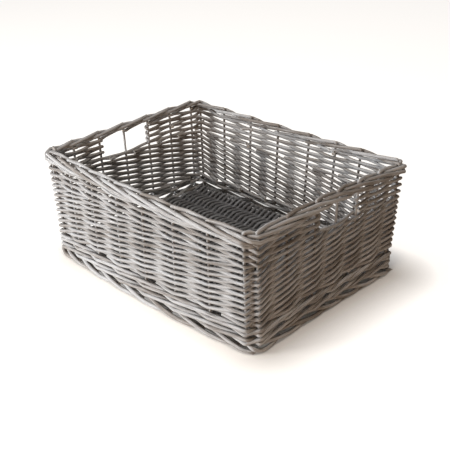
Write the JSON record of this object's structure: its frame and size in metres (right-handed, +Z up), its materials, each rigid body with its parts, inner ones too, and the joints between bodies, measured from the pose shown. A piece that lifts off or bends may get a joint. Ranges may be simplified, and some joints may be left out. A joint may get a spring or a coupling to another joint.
{
  "type": "wicker drawer basket",
  "caption": "Low rectangular wicker drawer basket with woven walls and base, a plaited rod border and a handle hole split by a bare stake in each end.",
  "frame": {"origin": "centre of the outline on the floor that the basket stands on", "axes": "+X along the long walls towards the right end, +Y towards the back long wall, +Z up"},
  "size_m": [0.4224, 0.3134, 0.1665],
  "materials": {
    "stake_willow": "satin",
    "siding_willow": "matte",
    "wale_willow": "matte",
    "base_willow": "matte"
  },
  "bodies": {
    "root": {"corner_stake_left_rear": "stake_willow", "stake_left_1": "stake_willow", "stake_left_2": "stake_willow", "stake_left_3": "stake_willow", "stake_left_4": "stake_willow", "stake_left_5": "stake_willow", "corner_stake_left_front": "stake_willow", "corner_stake_front_left": "stake_willow", "stake_front_1": "stake_willow", "stake_front_2": "stake_willow", "stake_front_3": "stake_willow", "stake_front_4": "stake_willow", "stake_front_5": "stake_willow", "stake_front_6": "stake_willow", "corner_stake_front_right": "stake_willow", "corner_stake_right_front": "stake_willow", "stake_right_1": "stake_willow", "stake_right_2": "stake_willow", "stake_right_3": "stake_willow", "stake_right_4": "stake_willow", "stake_right_5": "stake_willow", "corner_stake_right_rear": "stake_willow", "corner_stake_back_right": "stake_willow", "stake_back_1": "stake_willow", "stake_back_2": "stake_willow", "stake_back_3": "stake_willow", "stake_back_4": "stake_willow", "stake_back_5": "stake_willow", "stake_back_6": "stake_willow", "corner_stake_back_left": "stake_willow", "siding_rod_1": "siding_willow", "siding_rod_2": "siding_willow", "siding_rod_3": "siding_willow", "siding_rod_4": "siding_willow", "siding_rod_5": "siding_willow", "siding_rod_6": "siding_willow", "siding_rod_7": "siding_willow", "siding_rod_8": "siding_willow", "siding_rod_9": "siding_willow", "siding_rod_10": "siding_willow", "hole_row_rod_front": "siding_willow", "hole_row_rod_back": "siding_willow", "wale_rod_1": "wale_willow", "wale_rod_2": "wale_willow", "wale_rod_3": "wale_willow", "wale_rod_4": "wale_willow", "wale_rod_5": "wale_willow", "wale_rod_6": "wale_willow", "base_stick_1": "base_willow", "base_stick_2": "base_willow", "base_stick_3": "base_willow", "base_stick_4": "base_willow", "base_stick_5": "base_willow", "base_stick_6": "base_willow", "base_stick_7": "base_willow", "base_stick_8": "base_willow", "base_stick_9": "base_willow", "base_weaver": "base_willow"}
  },
  "joints": []
}
